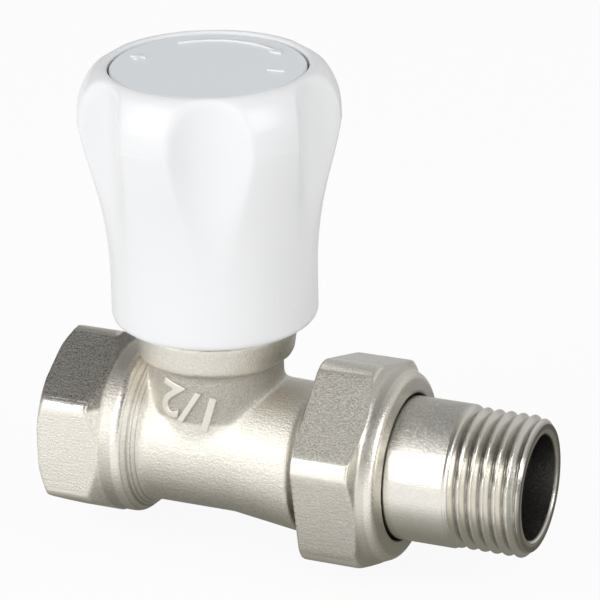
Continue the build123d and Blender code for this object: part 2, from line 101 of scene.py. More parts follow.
# Raised pipe size on the neck: height of its figures and of its middle, place round the neck and slant.
# The font's size is that much larger than its figures
MARK_HEIGHT = 5.6
FONT_SIZE = 1.4
MARK_BOLD = 0.16
MARK_PROUD = 0.42
MARK_SINK = 0.25
MARK_Z = 9.3
MARK_TURN = math.radians(-90.0)
MARK_SLANT = math.radians(-16.0)

# Raised signs on the cap: spots are (radius, angle from +X), and the arrow turns from tail to neck to tip
CAP_TOP = 58.45
SIGN_PROUD = 0.22
SIGN_SINK = 0.1
SIGN_STROKE = 0.6
PLUS_REACH = 1.15
PLUS_SPOT = (11.0, 180)
MINUS_REACH = 1.3
MINUS_SPOT = (10.2, 6)
ARROW_R = 11.25
ARROW_HEAD = 2.1
ARROW_TURNS = (137, 54.5, 45)
ARROW_STEPS = 55

# Nut: angles of its blasted faces round the pipe, how far out its faces and corners lie, and its mesh
NUT_FACE_TURNS = (12, 132)
NUT_FACE = (14.65, 14.82)
NUT_CORNER = (15.85, 16.05)
NUT_CELL = 0.24
NUT_ROUNDS = 5

# Camera, solved from the outlines of the wheel, nut and tube
EYE = Vector((217.85, -425.11, 216.51)) * MM
AZIMUTH = math.radians(23.09)
ELEVATION = math.radians(22.61)
ROLL = math.radians(-1.13)
LENS = 206.65
FLOOR_Z = -16.9 * MM

# Where the lamps point
LAMP_AIM = Vector((0.03, 0, 0.02))

# Bright side of the studio, and the light of its walls from the far side round to the bright one
BRIGHT_SIDE = (-0.55, -0.83, 0)
SKY_STOPS = ((0.0, 0.6), (0.35, 0.35), (0.58, 0.14), (0.73, 0.17), (0.81, 0.95), (1.0, 0.95))

# Grain depth in mm, speckle contrast, tone and roughness of each zone
BODY_BASE = (0.035, 0.09, 1.07)
# Upper hexagon faces: coarse grain, and a dark tone that is painted shade
HEX_TOP_SHADE_ZONE = (0.07, 0.30, 0.44, 0.30)
# Corners: polished finish, and a bright tone that is a painted highlight
CORNER_POLISH_AND_HIGHLIGHT_ZONE = (0.006, 0.03, 1.2, 0.28)
COLLAR_ZONE = (0.03, 0.07, 0.88, 0.36)
# Collar rim and nut rim: polished finish, and a bright tone that is a painted highlight
RIM_POLISH_AND_HIGHLIGHT_ZONE = (0.01, 0.04, 1.15, 0.26)
# Dark turning rings: painted shade of fine grooves that are not modelled
GROOVE_SHADE_RING_ZONE = (0.03, 0.10, 0.66, 0.36)
# Neck under the band: cast grain, and a dark tone that is painted shade
NECK_GRAIN_AND_SHADE_ZONE = (0.07, 0.15, 0.74, 0.42)
# Underside: coarser grain, and a darker tone that is painted shade
UNDERSIDE_GRAIN_AND_SHADE_ZONE = (0.05, 0.14, 0.94, 0.40)
# Line between the body's end and the nut: painted shadow
SEAM_SHADOW_ZONE = (0.03, 0.07, 0.4, 0.40)
NUT_BASE = (0.012, 0.04, 0.93)
# Upper nut faces: blasted grain, and a dark tone that is painted shade
NUT_TOP_GRAIN_AND_SHADE_ZONE = (0.09, 0.26, 0.74, 0.38)
NUT_LOW_ZONE = (0.03, 0.09, 0.88, 0.36)
# Nut's hole: painted shade
HOLE_SHADE_ZONE = (0.01, 0.05, 0.12, 0.55)
TAIL_BASE = (0.006, 0.04, 1.0)
# Top of the tube: brushed grain, and a darker tone that is painted shade
TUBE_TOP_GRAIN_AND_SHADE_ZONE = (0.032, 0.16, 0.9, 0.24)
# Thread roots: painted shade
ROOT_SHADE_ZONE = (0.006, 0.04, 0.55, 0.16)
# Inside of the bore: painted shade, and a dull finish
BORE_SHADE_ZONE = (0.02, 0.20, 0.30, 0.32)


class Wire:
    """A socket in a finish's node tree; operators on it add Math nodes."""

    def __init__(self, finish, out):
        self.finish = finish
        self.out = out

    def _math(self, operation, left, right):
        return self.finish.node("ShaderNodeMath", {"operation": operation}, {0: left, 1: right})

    def __add__(self, other):
        return self._math("ADD", self, other)

    def __radd__(self, other):
        return self._math("ADD", other, self)

    def __sub__(self, other):
        return self._math("SUBTRACT", self, other)

    def __rsub__(self, other):
        return self._math("SUBTRACT", other, self)

    def __mul__(self, other):
        return self._math("MULTIPLY", self, other)

    def __rmul__(self, other):
        return self._math("MULTIPLY", other, self)

    def __truediv__(self, other):
        return self._math("DIVIDE", self, other)

    def __pow__(self, other):
        return self._math("POWER", self, other)


class Finish:
    """One node tree, of a material or of the world."""

    def __init__(self, tree):
        self.tree = tree
        tree.nodes.clear()

    def node(self, kind, settings=None, inputs=None, output=0):
        made = self.tree.nodes.new(kind)
        for name, value in (settings or {}).items():
            if name == "stops":
                self._stops(made.color_ramp, value)
            else:
                setattr(made, name, value)
        for name, value in (inputs or {}).items():
            if isinstance(value, Wire):
                self.tree.links.new(value.out, made.inputs[name])
            else:
                made.inputs[name].default_value = value
        return Wire(self, made.outputs[output]) if made.outputs else None

    @staticmethod
    def _stops(ramp, stops):
        while len(ramp.elements) < len(stops):
            ramp.elements.new(0.5)
        for element, (place, shade) in zip(ramp.elements, stops):
            element.position = place
            element.color = (shade, shade, shade, 1) if isinstance(shade, (int, float)) else (*shade, 1)

    def place(self, scale=(1, 1, 1)):
        """Object coordinates, stretched by a Mapping node."""
        spot = self.node("ShaderNodeTexCoord", output="Object")
        return self.node("ShaderNodeMapping", None, {"Vector": spot, "Scale": scale})

    def noise(self, vector, scale, detail=2.0, roughness=0.5):
        return self.node("ShaderNodeTexNoise", None, {
            "Vector": vector, "Scale": scale, "Detail": detail, "Roughness": roughness})

    def ramp(self, value, *stops):
        return self.node("ShaderNodeValToRGB", {"stops": stops}, {"Fac": value})

    def range(self, value, low, high):
        return self.node("ShaderNodeMapRange", None, {
            "Value": value, "To Min": low, "To Max": high})

    def rise(self, value, start, end):
        """0 up to start, 1 from end on (or the other way round where start is the larger)."""
        turn = {"From Min": start, "From Max": end}
        if start > end:
            turn = {"From Min": end, "From Max": start, "To Min": 1.0, "To Max": 0.0}
        return self.node("ShaderNodeMapRange", {"interpolation_type": "SMOOTHSTEP"}, {
            "Value": value, **turn})

    def split(self, vector):
        """X, Y and Z of a vector, in millimetres where the vector is in metres."""
        first = self.node("ShaderNodeSeparateXYZ", None, {0: vector})
        return [Wire(self, out) / MM for out in first.out.node.outputs]

    def blend(self, share, first, second):
        """Two colours mixed by share, on the Mix node's colour sockets."""
        return self.node("ShaderNodeMix", {"data_type": "RGBA"}, {
            0: share, 6: (*first, 1), 7: (*second, 1)}, output=2)

    def bump(self, height, depth, strength=1.0, below=None):
        inputs = {"Height": height, "Distance": depth, "Strength": strength}
        if below is not None:
            inputs["Normal"] = below
        return self.node("ShaderNodeBump", None, inputs)


def finish(name):
    material = bpy.data.materials.new(name)
    material.use_nodes = True
    return material, Finish(material.node_tree)


def close(tree, inputs):
    """Principled shader with these inputs, wired to the output."""
    shader = tree.node("ShaderNodeBsdfPrincipled", None, inputs)
    tree.node("ShaderNodeOutputMaterial", None, {"Surface": shader})


# Modelling helpers

def deselect():
    bpy.ops.object.select_all(action="DESELECT")


def take(piece):
    deselect()
    piece.select_set(True)
    bpy.context.view_layer.objects.active = piece


def edit(piece):
    take(piece)
    bpy.ops.object.mode_set(mode="EDIT")
    bpy.ops.mesh.select_all(action="SELECT")


def done():
    bpy.ops.object.mode_set(mode="OBJECT")


def smooth(piece, angle=35):
    take(piece)
    bpy.ops.object.shade_smooth_by_angle(angle=math.radians(angle))


def profile_piece(name, points):
    """A wire of vertices, each joined to the next and the last to the first."""
    mesh = bpy.data.meshes.new(name)
    count = len(points)
    mesh.from_pydata(points, [(i, (i + 1) % count) for i in range(count)], [])
    piece = bpy.data.objects.new(name, mesh)
    bpy.context.scene.collection.objects.link(piece)
    return piece


def spun(name, points, axis, centre, steps):
    """A closed section spun all the way round an axis."""
    piece = profile_piece(name, points)
    edit(piece)
    bpy.ops.mesh.spin(steps=steps, angle=math.tau, center=centre, axis=axis)
    bpy.ops.mesh.select_all(action="SELECT")
    bpy.ops.mesh.remove_doubles(threshold=0.002 * MM)
    bpy.ops.mesh.normals_make_consistent(inside=False)
    done()
    return piece


def hermite(start, end, leave, arrive, count):
    """Points from start up to, but without, end, on a curve with these end slopes."""
    line = []
    for i in range(count):
        t = i / count
        a = 2 * t ** 3 - 3 * t ** 2 + 1
        b = t ** 3 - 2 * t ** 2 + t
        c = -2 * t ** 3 + 3 * t ** 2
        d = t ** 3 - t ** 2
        line.append(tuple(a * s + b * l + c * e + d * r for s, e, l, r in zip(start, end, leave, arrive)))
    return line


def straight(start, end, count):
    return [tuple(s + (e - s) * i / count for s, e in zip(start, end)) for i in range(count)]


def soft_min(a, b, reach):
    share = min(1.0, max(0.0, 0.5 + 0.5 * (b - a) / reach))
    return b + (a - b) * share - reach * share * (1 - share)


def finish_modifier(piece, kind, **settings):
    take(piece)
    modifier = piece.modifiers.new(kind.lower(), kind)
    for name, value in settings.items():
        setattr(modifier, name, value)
    bpy.ops.object.modifier_apply(modifier=modifier.name)


def join(pieces, name):
    """All pieces as one, in the first one's place."""
    deselect()
    for piece in pieces:
        piece.select_set(True)
    bpy.context.view_layer.objects.active = pieces[0]
    bpy.ops.object.join()
    pieces[0].name = name
    return pieces[0]


def soft_copy(name, node, cell, rounds, cuts=()):
    """A node's shape with its edges worn round, as forged and tumbled metal has them."""
    piece = bpy.data.objects.new(name, nodes[node].data.copy())
    bpy.context.scene.collection.objects.link(piece)
    edit(piece)
    bpy.ops.mesh.remove_doubles(threshold=0.0005 * MM)
    done()
    for cutter in cuts:
        finish_modifier(piece, "BOOLEAN", object=cutter, operation="DIFFERENCE", solver="EXACT")
        bpy.data.objects.remove(cutter)
    finish_modifier(piece, "REMESH", mode="VOXEL", voxel_size=cell * MM, use_smooth_shade=True)
    finish_modifier(piece, "SMOOTH", factor=0.5, iterations=rounds)
    return piece


# Handwheel

def wheel_section():
    """(radius, height) points, up the outside, over the rim, down into the recess and back inside."""
    foot_edge = 1.1
    edge = []
    for i in range(6):
        turn = math.radians(-90 + 15 * i)
        edge.append((WHEEL_FOOT_R - foot_edge + foot_edge * math.cos(turn),
                     WHEEL_FOOT + foot_edge + foot_edge * math.sin(turn)))
    foot_end = (WHEEL_FOOT_R, 27.15)
    waist = (16.5, 39.4)
    widest = (19.05, 50.6)
    shoulder = (18.5, 55.0)
    rim = (15.1, WHEEL_TOP)
    points = edge
    points += straight((WHEEL_FOOT_R, WHEEL_FOOT + foot_edge), foot_end, 8)
    points += hermite(foot_end, waist, (0, 12.25), (2.5, 11.8), 20)
    points += hermite(waist, widest, (2.45, 11.4), (1.75, 11.2), 24)
    points += [widest, (19.045, 50.72), (19.015, 50.8), (19.035, 50.88)]
    points += hermite((19.03, 51.0), shoulder, (-0.08, 4.5), (-1.4, 3.7), 10)
    points += hermite(shoulder, rim, (-1.9, 5.0), (-5.2, 0.3), 14)
    points += [rim, (14.85, WHEEL_TOP - 0.02), (14.6, WHEEL_TOP - 0.14), (CAP_RECESS_R, WHEEL_TOP - 0.36)]
    points += straight((CAP_RECESS_R, WHEEL_TOP - 0.8), (CAP_RECESS_R, WHEEL_WEB_TOP), 4)
    points += straight((CAP_RECESS_R, WHEEL_WEB_TOP), (WHEEL_SCREW_HOLE_R, WHEEL_WEB_TOP), 4)
    points += straight((WHEEL_SCREW_HOLE_R, WHEEL_WEB_TOP), (WHEEL_SCREW_HOLE_R, WHEEL_HUB_FOOT), 4)
    points += [(WHEEL_SCREW_HOLE_R, WHEEL_HUB_FOOT), (WHEEL_HUB_R - 0.3, WHEEL_HUB_FOOT),
               (WHEEL_HUB_R, WHEEL_HUB_FOOT + 0.3)]
    points += straight((WHEEL_HUB_R, WHEEL_WEB_BOTTOM - 0.4), (WHEEL_INSIDE_R - 0.4, WHEEL_WEB_BOTTOM), 4)
    points += straight((WHEEL_INSIDE_R, WHEEL_WEB_BOTTOM - 0.4), (WHEEL_INSIDE_R, WHEEL_FOOT + 0.3), 12)
    points += [(WHEEL_INSIDE_R, WHEEL_FOOT + 0.3), (WHEEL_INSIDE_R + 0.3, WHEEL_FOOT)]
    return points


def scoop_flutes(piece):
    """Draws the outside in to six upright scoops, whose edges run softly into the wheel."""
    far = FLUTE_FLOOR_R + FLUTE_R
    step = math.tau / FLUTE_COUNT
    for vertex in piece.data.vertices:
        x, y = vertex.co.x - STEM_X, vertex.co.y
        radius = math.hypot(x, y) / MM
        if radius < CAP_RECESS_R + 0.05:
            continue
        turn = (math.atan2(y, x) - FLUTE_TURN + step / 2) % step - step / 2
        side = far * math.sin(turn)
        if abs(side) >= FLUTE_R:
            scoop = far * math.cos(turn) + (abs(side) - FLUTE_R)
        else:
            scoop = far * math.cos(turn) - math.sqrt(FLUTE_R ** 2 - side ** 2)
        drawn = soft_min(radius, scoop, FLUTE_SOFTNESS)
        vertex.co.x = STEM_X + x * drawn / radius
        vertex.co.y = y * drawn / radius


def block(size, middle, turn=0.0):
    """A box of this size, its middle at (out from the stem, height), turned round the stem."""
    deselect()
    spot = (STEM_X + middle[0] * math.cos(turn) * MM, middle[0] * math.sin(turn) * MM, middle[1] * MM)
    bpy.ops.mesh.primitive_cube_add(
        size=1, location=spot, rotation=(0, 0, turn), scale=[s * MM for s in size])
    return bpy.context.active_object


def make_ribs():
    """Upright ribs inside the wheel that tie its hub to its wall."""
    size = (WHEEL_INSIDE_R - WHEEL_HUB_R + 2 * RIB_SINK, RIB, RIB_HEIGHT)
    middle = ((WHEEL_INSIDE_R + WHEEL_HUB_R) / 2, WHEEL_WEB_BOTTOM - RIB_HEIGHT / 2 + 0.05)
    return [block(size, middle, FLUTE_TURN + math.tau * i / FLUTE_COUNT) for i in range(FLUTE_COUNT)]


def make_wheel():
    points = [(STEM_X + r * MM, 0, z * MM) for r, z in wheel_section()]
    piece = spun("fluted_wheel", points, (0, 0, 1), (STEM_X, 0, 0), 288)
    height = WHEEL_WEB_BOTTOM - WHEEL_HUB_FOOT
    socket = block((WHEEL_SOCKET, WHEEL_SOCKET, 2 * height), (0, WHEEL_HUB_FOOT))
    finish_modifier(piece, "BOOLEAN", object=socket, operation="DIFFERENCE", solver="EXACT")
    bpy.data.objects.remove(socket)
    scoop_flutes(piece)
    join([piece] + make_ribs(), "fluted_wheel")
    smooth(piece, 50)
    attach(piece, "handwheel")
    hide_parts("handwheel")
    return piece


# Tailpiece

def tail_section():
    """(station, radius) points round the tube's wall, close together where the thread is cut."""
    groove_start, groove_end = TAIL_GROOVE
    collar_start, collar_end = TAIL_COLLAR
    points = [(TAIL_NOSE, TAIL_BORE_R), (TAIL_NOSE, TAIL_NOSE_R),
              (groove_start, TAIL_NOSE_R), (groove_start, TAIL_GROOVE_R),
              (groove_end, TAIL_GROOVE_R), (groove_end, TAIL_NOSE_R),
              (collar_start, TAIL_NOSE_R), (collar_start, TAIL_COLLAR_R),
              (collar_end, TAIL_COLLAR_R), (collar_end, TAIL_R)]
    points += straight((collar_end + 0.5, TAIL_R), (TAIL_THREAD_START - THREAD_RUN_IN, TAIL_R), 8)
    points += straight((TAIL_THREAD_START - THREAD_RUN_IN, TAIL_R), (TAIL_END - 0.05, TAIL_R), 150)
    points += [(TAIL_END, TAIL_END_R), (TAIL_END, TAIL_BORE_R + 0.35), (TAIL_END - 0.35, TAIL_BORE_R)]
    points += straight((TAIL_END - 1, TAIL_BORE_R), (46, TAIL_BORE_R), 6)
    return points


def thread_height(station, turn):
    """Share of full depth, 0 at a crest and 1 at a root, on a rounded V that climbs with the turn."""
    phase = (station - TAIL_THREAD_START) / THREAD_PITCH - turn / math.tau
    wave = math.sin(math.tau * phase)
    return 0.5 - math.asin(THREAD_SHARP * wave) / (2 * math.asin(THREAD_SHARP))


def cut_thread(piece):
    for vertex in piece.data.vertices:
        station = vertex.co.x / MM
        radius = math.hypot(vertex.co.y, vertex.co.z) / MM
        if radius < TAIL_R - 0.05 or not TAIL_THREAD_START - THREAD_RUN_IN <= station <= TAIL_END:
            continue
        turn = math.atan2(vertex.co.z, vertex.co.y)
        start = min(1.0, max(0.0, station - TAIL_THREAD_START + 1.1))
        crest = TAIL_R + (TAIL_CREST_R - TAIL_R) * start
        cut = crest - THREAD_DEPTH * start * thread_height(station, turn)
        drawn = min(cut, TAIL_END_R + max(0.0, TAIL_END - station))
        vertex.co.y *= drawn / radius
        vertex.co.z *= drawn / radius


def make_tail():
    points = [(x * MM, 0, r * MM) for x, r in tail_section()]
    piece = spun("threaded_tail", points, (1, 0, 0), (0, 0, 0), 192)
    cut_thread(piece)
    smooth(piece, 40)
    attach(piece, "tailpiece")
    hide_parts("tailpiece")
    return piece


# Body and nut

def thread_bore():
    """A plug that clears the inlet for its threaded sleeve."""
    deselect()
    bpy.ops.mesh.primitive_cylinder_add(
        vertices=128, radius=INLET_SLEEVE_R * MM, depth=INLET_DEPTH * MM,
        location=(INLET_DEPTH / 2 * MM, 0, 0), rotation=(0, math.radians(90), 0))
    return bpy.context.active_object


def make_inlet_thread():
    count = 160
    section = straight((0, INLET_MAJOR_R), (INLET_DEPTH, INLET_MAJOR_R), count)
    section += [(INLET_DEPTH, INLET_MAJOR_R), (INLET_DEPTH, INLET_SLEEVE_R), (0, INLET_SLEEVE_R)]
    points = [(x * MM, 0, r * MM) for x, r in section]
    piece = spun("inlet_thread", points, (1, 0, 0), (0, 0, 0), 160)
    for vertex in piece.data.vertices:
        radius = math.hypot(vertex.co.y, vertex.co.z) / MM
        if radius > INLET_MAJOR_R + 0.05:
            continue
        station = vertex.co.x / MM
        turn = math.atan2(vertex.co.z, vertex.co.y)
        fade = min(1.0, station / 0.7) * min(1.0, (INLET_DEPTH - station) / 1.5)
        drawn = INLET_MAJOR_R - (INLET_MAJOR_R - INLET_MINOR_R) * fade * (1 - thread_height(station, turn))
        vertex.co.y *= drawn / radius
        vertex.co.z *= drawn / radius
    smooth(piece, 60)
    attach(piece, "valve_body")
    return piece


def near_saddle(x, y, z):
    """1 on the line where the neck runs into the pipe, and less away from it."""
    out = math.hypot(x - STEM_X / MM, y)
    off = math.hypot(out - NECK_R, math.hypot(y, z) - PIPE_R)
    return max(0.0, 1.0 - off / SADDLE_REACH) if z > 2 else 0.0


def blend_saddle(piece):
    group = piece.vertex_groups.new(name="saddle")
    for vertex in piece.data.vertices:
        weight = near_saddle(*(vertex.co / MM))
        if weight:
            group.add([vertex.index], min(1.0, 2 * weight), "REPLACE")
    finish_modifier(piece, "SMOOTH", factor=0.5, iterations=SADDLE_ROUNDS, vertex_group="saddle")


def make_body():
    piece = soft_copy("forged_body", "valve_body", BODY_CELL, BODY_ROUNDS, [thread_bore()])
    blend_saddle(piece)
    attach(piece, "valve_body")
    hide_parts("valve_body")
    return piece


def make_size_mark():
    """The pipe size in raised cast figures, upside down on the front of the neck."""
    deselect()
    bpy.ops.object.text_add()
    piece = bpy.context.active_object
    piece.name = "size_mark"
    piece.data.body = "1/2"
    piece.data.align_x = "CENTER"
    piece.data.align_y = "CENTER"
    piece.data.size = MARK_HEIGHT * FONT_SIZE * MM
    piece.data.offset = MARK_BOLD * MM
    piece.data.extrude = (MARK_PROUD + MARK_SINK) / 2 * MM
    bpy.ops.object.convert(target="MESH")
    finish_modifier(piece, "REMESH", mode="VOXEL", voxel_size=0.1 * MM, use_smooth_shade=True)
    finish_modifier(piece, "SMOOTH", factor=0.5, iterations=3)
    cos, sin = math.cos(MARK_SLANT), math.sin(MARK_SLANT)
    for vertex in piece.data.vertices:
        u, v, w = (c / MM for c in vertex.co)
        along, up = -(u * cos - v * sin), -(u * sin + v * cos)
        turn = MARK_TURN + along / NECK_R
        radius = NECK_R + w + (MARK_PROUD - MARK_SINK) / 2
        x, y = radius * math.cos(turn), radius * math.sin(turn)
        vertex.co = (STEM_X + x * MM, y * MM, (MARK_Z + up) * MM)
    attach(piece, "valve_body")
    return piece


def raised_strip(corners):
    """A low flat-topped sign on the cap from the corners of its outline."""
    bottom, top = (CAP_TOP - SIGN_SINK) * MM, (CAP_TOP + SIGN_PROUD) * MM
    count = len(corners)
    points = [(STEM_X + x * MM, y * MM, bottom) for x, y in corners]
    points += [(STEM_X + x * MM, y * MM, top) for x, y in corners]
    sides = [(i, (i + 1) % count, count + (i + 1) % count, count + i) for i in range(count)]
    mesh = bpy.data.meshes.new("sign")
    mesh.from_pydata(points, [], [tuple(range(count))[::-1], tuple(range(count, 2 * count))] + sides)
    piece = bpy.data.objects.new("sign", mesh)
    bpy.context.scene.collection.objects.link(piece)
    return piece


def polar(radius, degrees):
    turn = math.radians(degrees)
    return radius * math.cos(turn), radius * math.sin(turn)


def laid(outline, radius, degrees):
    """An outline's (along the rim, outward) corners laid on the cap at this radius and angle."""
    x, y = polar(radius, degrees)
    turn = math.radians(degrees)
    cos, sin = math.cos(turn), math.sin(turn)
    return [(x - a * sin + o * cos, y + a * cos + o * sin) for a, o in outline]


def make_cap_signs():
    """Raised turning arrow along the cap's rim, with a plus at one end and a minus at the other."""
    tail, neck, tip = ARROW_TURNS
    a, b, c = SIGN_STROKE / 2, PLUS_REACH, ARROW_HEAD / 2
    step = (tail - neck) / ARROW_STEPS
    outer = [polar(ARROW_R + a, tail - step * i) for i in range(ARROW_STEPS + 1)]
    head = [polar(ARROW_R + c, neck), polar(ARROW_R, tip), polar(ARROW_R - c, neck)]
    inner = [polar(ARROW_R - a, neck + step * i) for i in range(ARROW_STEPS + 1)]
    plus = [(a, a), (a, b), (-a, b), (-a, a), (-b, a), (-b, -a),
            (-a, -a), (-a, -b), (a, -b), (a, -a), (b, -a), (b, a)]
    minus = [(a, MINUS_REACH), (-a, MINUS_REACH), (-a, -MINUS_REACH), (a, -MINUS_REACH)]
    arrow = (outer + head + inner)[::-1]
    outlines = [arrow, laid(plus[::-1], *PLUS_SPOT), laid(minus[::-1], *MINUS_SPOT)]
    signs = [raised_strip(outline) for outline in outlines]
    piece = join(signs, "cap_signs")
    finish_modifier(piece, "BEVEL", width=0.07 * MM, segments=2, limit_method="ANGLE")
    edit(piece)
    bpy.ops.mesh.normals_make_consistent(inside=False)
    done()
    smooth(piece, 40)
    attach(piece, "handwheel")
    return piece


def make_nut():
    piece = soft_copy("soft_nut", "union_nut", NUT_CELL, NUT_ROUNDS)
    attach(piece, "union_nut")
    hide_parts("union_nut")
    return piece


# Finishes

def shaded(tint, tone):
    return tuple(c * tone for c in tint)


def metal_grain(tree):
    """Speckle of cast and blasted metal, and lines along the pipe, both spread over 0 to 1."""
    speck = tree.rise(tree.noise(tree.place(), 3000, 4, 0.7), 0.3, 0.7)
    line = tree.rise(tree.noise(tree.place(scale=(0.1, 1, 1)), 4800, 2, 0.5), 0.3, 0.7)
    return speck, line


def satin_metal(name, tint, roughness, grain, streak):
    """Turned metal: a little grain, streaks along the axis, and shine that varies in patches."""
    material, tree = finish(name)
    speck, line = metal_grain(tree)
    patch = tree.noise(tree.place(), 160, 3, 0.6)
    colour = tree.blend(speck, shaded(tint, 0.95), shaded(tint, 1.05))
    shine = tree.range(patch, roughness - 0.04, roughness + 0.04) + tree.range(speck, -0.02, 0.02)
    normal = tree.bump(line, streak * MM, 1.0, tree.bump(speck, grain * MM))
    close(tree, {"Base Color": colour, "Metallic": 1.0, "Roughness": shine, "Normal": normal})
    return material


def zoned_nickel(name, tint, roughness, zones, base, streak=0.012):
    """Plated metal whose grain, tone and shine change from zone to zone, each with its mask."""
    material, tree = finish(name)
    speck, line = metal_grain(tree)
    grain, contrast, tone, rough = (tree.node("ShaderNodeValue") for _ in range(4))
    for wire, value in zip((grain, contrast, tone, rough), (*base, roughness)):
        wire.out.default_value = value
    for mask, zone in zones(tree, *tree.split(tree.place())):
        grain = grain + (zone[0] - base[0]) * mask
        contrast = contrast + (zone[1] - base[1]) * mask
        tone = tone + (zone[2] - base[2]) * mask
        rough = rough + (zone[3] - roughness) * mask
    patch = tree.noise(tree.place(), 170, 3, 0.6)
    level = tone * (1.0 + contrast * (speck * 2.0 - 1.0)) * tree.range(patch, 0.95, 1.05)
    colour = tree.node("ShaderNodeVectorMath", {"operation": "SCALE"}, {0: tint, "Scale": level})
    shine = rough + tree.range(patch, -0.04, 0.04) + tree.range(speck, -0.03, 0.03)
    height = speck * grain * MM + line * (streak * MM)
    normal = tree.bump(height, 1.0)
    close(tree, {"Base Color": colour, "Metallic": 1.0, "Roughness": shine, "Normal": normal})
    return material


def between(tree, value, start, end, edge=0.3):
    """1 from start to end, with soft edges."""
    half = edge / 2
    return tree.rise(value, start - half, start + half) * tree.rise(value, end + half, end - half)


def body_zones(tree, x, y, z):
    """Rough upper hexagon faces in painted shade, corners and collar rim with painted highlights, turned
    collar with dark rings of painted groove shade, cast neck under the band and coarser underside in
    painted shade, and a painted shadow line at the seam by the nut.
    """
    stem = STEM_X / MM
    out = ((x - stem) * (x - stem) + y * y) ** 0.5
    ring = (y * y + z * z) ** 0.5
    hexagon = tree.rise(x, 9.2, 8.6)
    # Hexagon corners, polished and with a painted highlight
    corner_highlight = hexagon * tree.rise(ring, 14.32, 14.5)
    collar = tree.rise(ring, 13.6, 13.3) * tree.rise(out, 10.1, 10.4)
    # Dark rings along the pipe: painted shade of grooves that are not modelled
    line = tree.rise(tree.noise(tree.place(scale=(1, 0, 0)), 2300, 1), 0.5, 0.6)
    neck = tree.rise(out, 10.5, 10.1) * between(tree, z, 6.4, 14.6, 0.6) * tree.rise(x, 13.5, 18.0)
    return [
        # Upper hexagon faces in painted shade
        (hexagon * (1.0 - corner_highlight) * tree.rise(z, 6.6, 7.4), HEX_TOP_SHADE_ZONE),
        # Corners with a painted highlight
        (corner_highlight, CORNER_POLISH_AND_HIGHLIGHT_ZONE),
        (collar * between(tree, x, 9.1, 11.1), COLLAR_ZONE),
        # Collar rim with a painted highlight
        (collar * between(tree, x, 11.2, 12.3), RIM_POLISH_AND_HIGHLIGHT_ZONE),
        # Dark turning rings of painted groove shade
        (collar * between(tree, x, 12.5, 14.8) * line, GROOVE_SHADE_RING_ZONE),
        # Neck under the band in painted shade, with cast grain
        (neck, NECK_GRAIN_AND_SHADE_ZONE),
        # Underside in painted shade, with coarser grain
        (tree.rise(z, -3.0, -7.0) * tree.rise(x, 8.6, 9.2), UNDERSIDE_GRAIN_AND_SHADE_ZONE),
        # Painted shadow line between the body's end and the nut
        (between(tree, x, 39.35, 41.2), SEAM_SHADOW_ZONE),
    ]


def nut_zones(tree, x, y, z):
    """Blasted upper faces in painted shade and brushed lower ones, between corners and rim that are
    polished and have painted highlights, and a hole darkened as painted shade.
    """
    ring = (y * y + z * z) ** 0.5
    flats = 0.0
    for turn in NUT_FACE_TURNS:
        out = y * math.cos(math.radians(turn)) + z * math.sin(math.radians(turn))
        flats = flats + tree.rise(out * out, *(edge ** 2 for edge in NUT_FACE))
    return [
        # Upper faces in painted shade, with blasted grain
        (flats * tree.rise(z, 4.0, 6.0), NUT_TOP_GRAIN_AND_SHADE_ZONE),
        (flats * tree.rise(z, 6.0, 4.0), NUT_LOW_ZONE),
        # Corners with a painted highlight
        (tree.rise(ring, *NUT_CORNER) * (1.0 - flats), CORNER_POLISH_AND_HIGHLIGHT_ZONE),
        # Nut rim with a painted highlight
        (tree.rise(x, 51.7, 52.0) * tree.rise(ring, 13.0, 13.3), RIM_POLISH_AND_HIGHLIGHT_ZONE),
        # Hole in painted shade
        (tree.rise(ring, 11.15, 11.0), HOLE_SHADE_ZONE),
    ]


def tail_zones(tree, x, y, z):
    """Brushed top of the tube in painted shade, thread roots darkened as painted shade, and a dull bore
    darkened as painted shade.
    """
    out = (y * y + z * z) ** 0.5
    thread = tree.rise(x, 61.8, 62.4)
    return [
        # Bore in painted shade
        (tree.rise(out, 7.95, 7.82), BORE_SHADE_ZONE),
        # Top of the tube in painted shade, with brushed grain
        (tree.rise(z, 5.0, 7.5) * (1.0 - thread), TUBE_TOP_GRAIN_AND_SHADE_ZONE),
        # Thread roots in painted shade
        (thread * between(tree, out, 8.6, 9.6, 0.35), ROOT_SHADE_ZONE),
    ]


def white_moulding(name, tint, roughness):
    material, tree = finish(name)
    cloud = tree.noise(tree.place(), 90, 2, 0.5)
    ripple = tree.noise(tree.place(), 700, 2, 0.5)
    colour = tree.blend(tree.range(cloud, 0.0, 1.0), shaded(tint, 0.985), tint)
    shine = tree.range(ripple, roughness - 0.03, roughness + 0.04)
    normal = tree.bump(ripple, 0.004 * MM)
    close(tree, {"Base Color": colour, "Roughness": shine, "Normal": normal, "IOR": 1.5})
    return material


def plain_rubber(name, tint, roughness):
    material, tree = finish(name)
    mottle = tree.noise(tree.place(), 2200, 3, 0.6)
    colour = tree.blend(tree.range(mottle, 0.0, 1.0), shaded(tint, 0.8), tint)
    close(tree, {
        "Base Color": colour,
        "Roughness": tree.range(mottle, roughness - 0.08, roughness + 0.08),
        "Normal": tree.bump(mottle, 0.01 * MM),
    })
    return material


def dress(piece, material):
    piece.data.materials.clear()
    piece.data.materials.append(material)


# Stage

